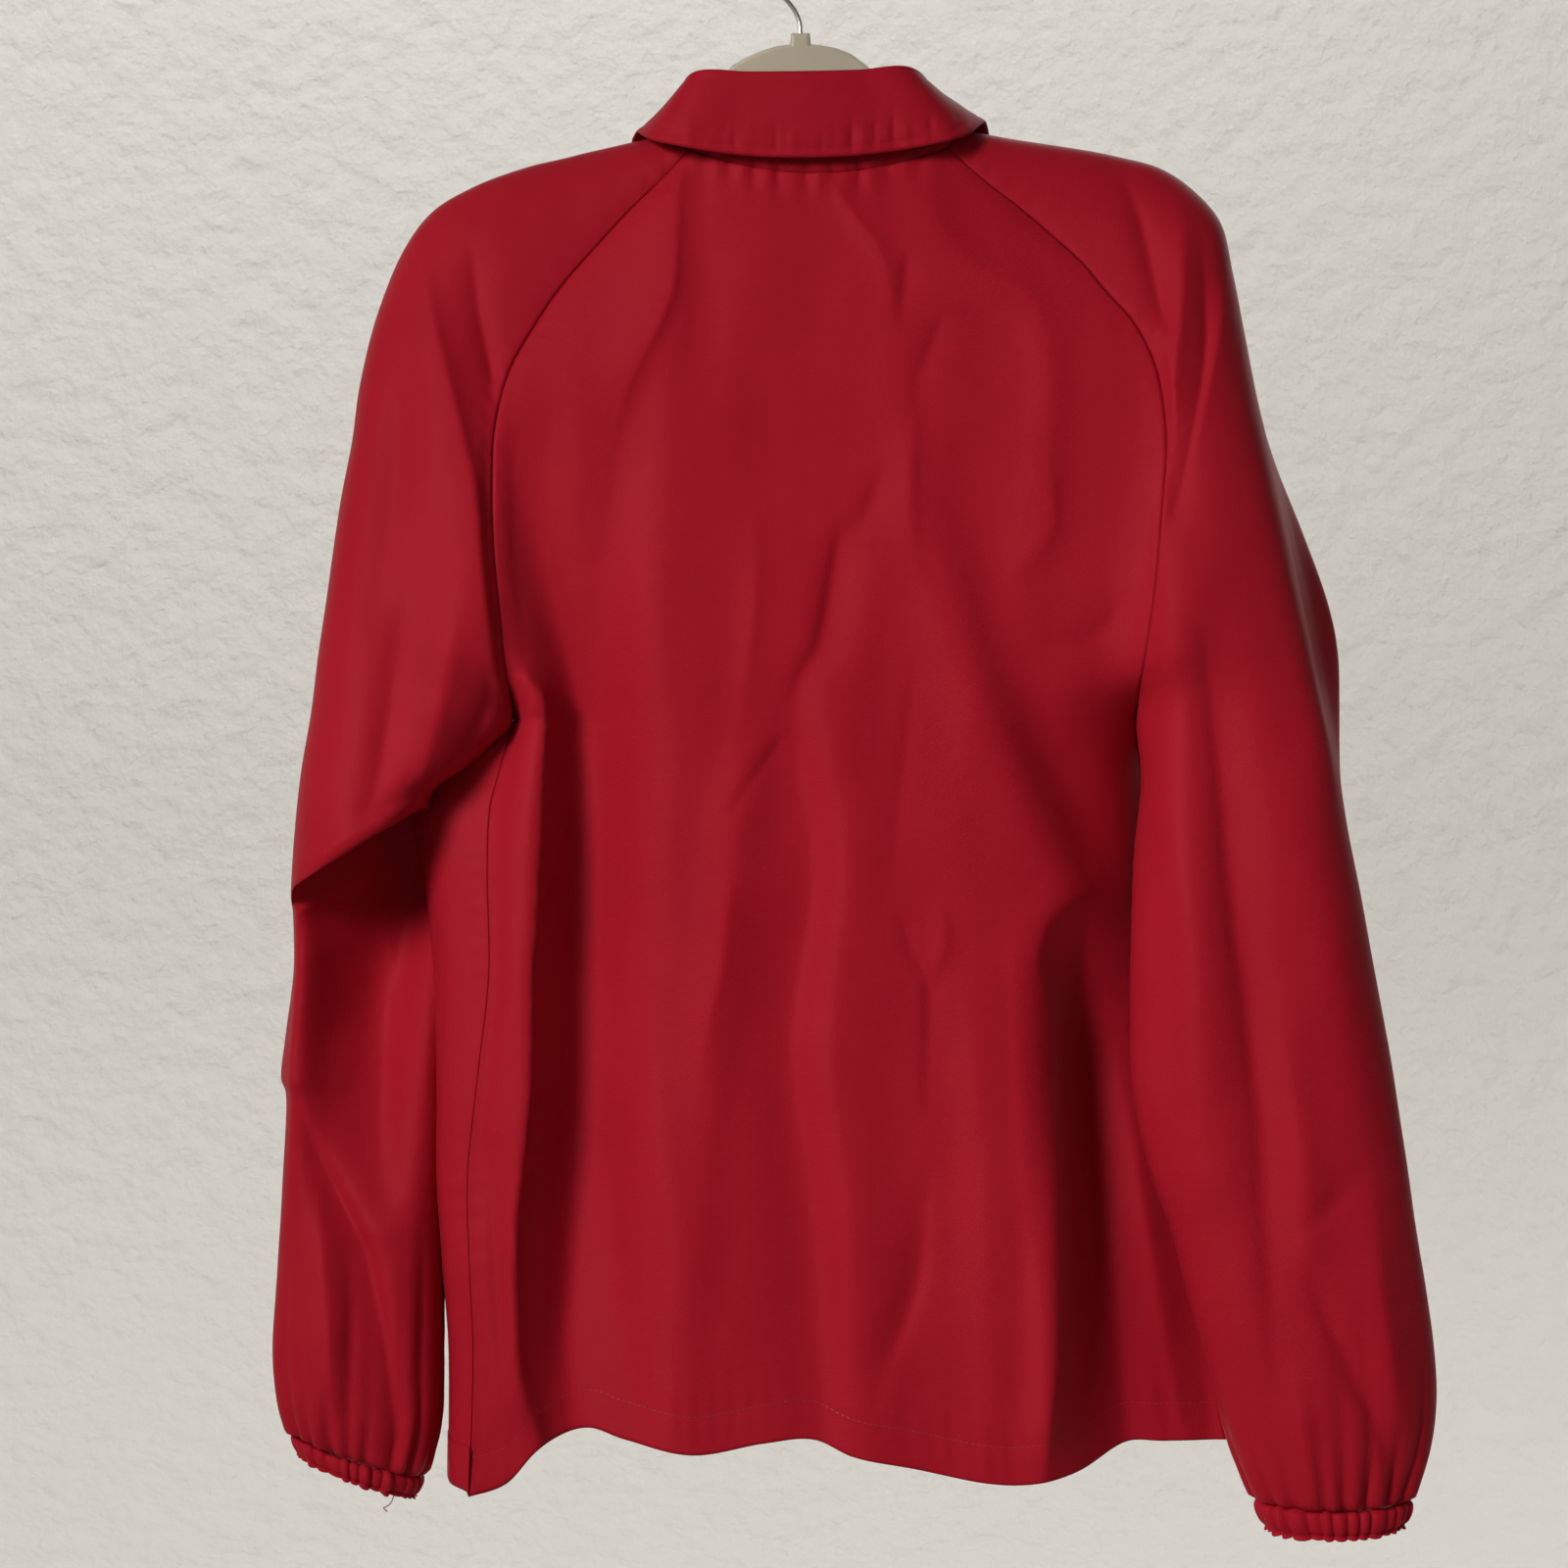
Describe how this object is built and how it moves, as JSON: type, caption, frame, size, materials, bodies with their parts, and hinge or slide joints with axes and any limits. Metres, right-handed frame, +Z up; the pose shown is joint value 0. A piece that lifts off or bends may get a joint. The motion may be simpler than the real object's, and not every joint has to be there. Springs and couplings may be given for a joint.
{
  "type": "snap-front jacket on a hanger",
  "caption": "Red nylon windbreaker with raglan sleeves, turned-down collar and gathered cuffs, hung on a putty plastic hanger and seen from its back",
  "frame": {"origin": "inside of the top of the hanger's hook, where a rod or nail carries it", "axes": "+Z up the hook's stem; +Y out of the jacket's front, so the pictured back faces -Y; +X to the right of the back as seen"},
  "size_m": [0.612, 0.1702, 0.8573],
  "materials": {
    "cloth": "thin satin nylon, soft sheen, fine plain weave",
    "snap": "enamelled metal cap",
    "hanger": "moulded plastic, satin matte",
    "wire": "drawn steel wire"
  },
  "bodies": {
    "root": {"back_panel": "cloth", "front_left": "cloth", "front_right": "cloth", "sleeve_left": "cloth", "sleeve_right": "cloth", "cuff_left": "cloth", "cuff_right": "cloth", "collar_stand": "cloth", "collar_fall": "cloth", "hanger_body": "hanger", "hanger_hook": "wire", "snap_1": "snap", "snap_2": "snap", "snap_3": "snap", "snap_4": "snap", "snap_5": "snap", "snap_6": "snap"}
  },
  "joints": []
}
